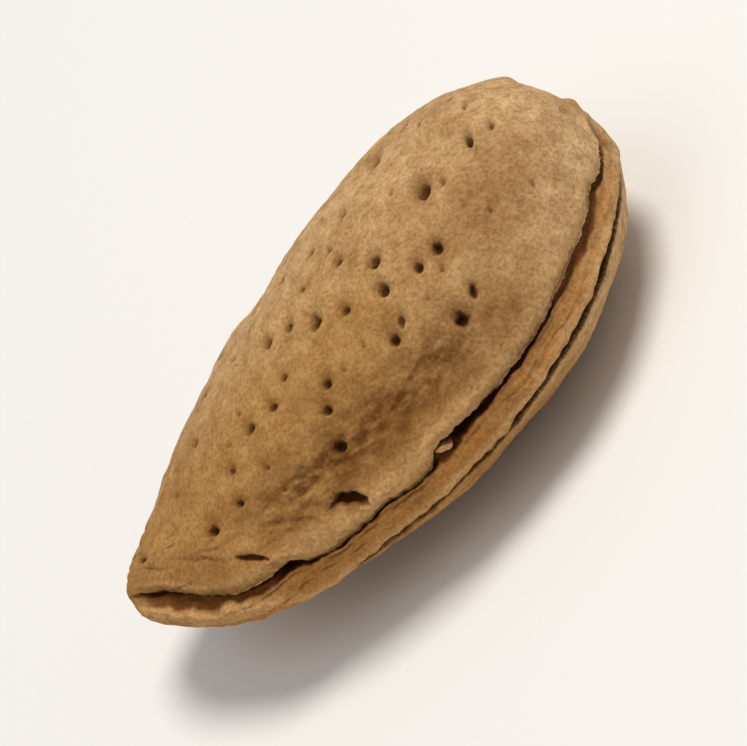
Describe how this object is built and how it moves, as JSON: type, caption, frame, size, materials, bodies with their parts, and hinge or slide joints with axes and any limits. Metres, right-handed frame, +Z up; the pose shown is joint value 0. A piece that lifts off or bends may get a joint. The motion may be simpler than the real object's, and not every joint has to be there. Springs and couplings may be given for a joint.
{
  "type": "almond in its shell",
  "caption": "Whole almond in its shell: a flattened teardrop with a pitted, woody tan shell, a ribbed seam along one edge, a blunt stem end and a pointed apex.",
  "frame": {"origin": "centre of the bounding box's bottom, on the surface that the nut rests on", "axes": "+X along the nut towards its pointed apex, +Y towards the ribbed ventral suture, +Z up, square to the cheeks"},
  "size_m": [0.04, 0.0224, 0.0151],
  "materials": {
    "shell": "matte"
  },
  "bodies": {
    "root": {"almond": "shell"}
  },
  "joints": []
}
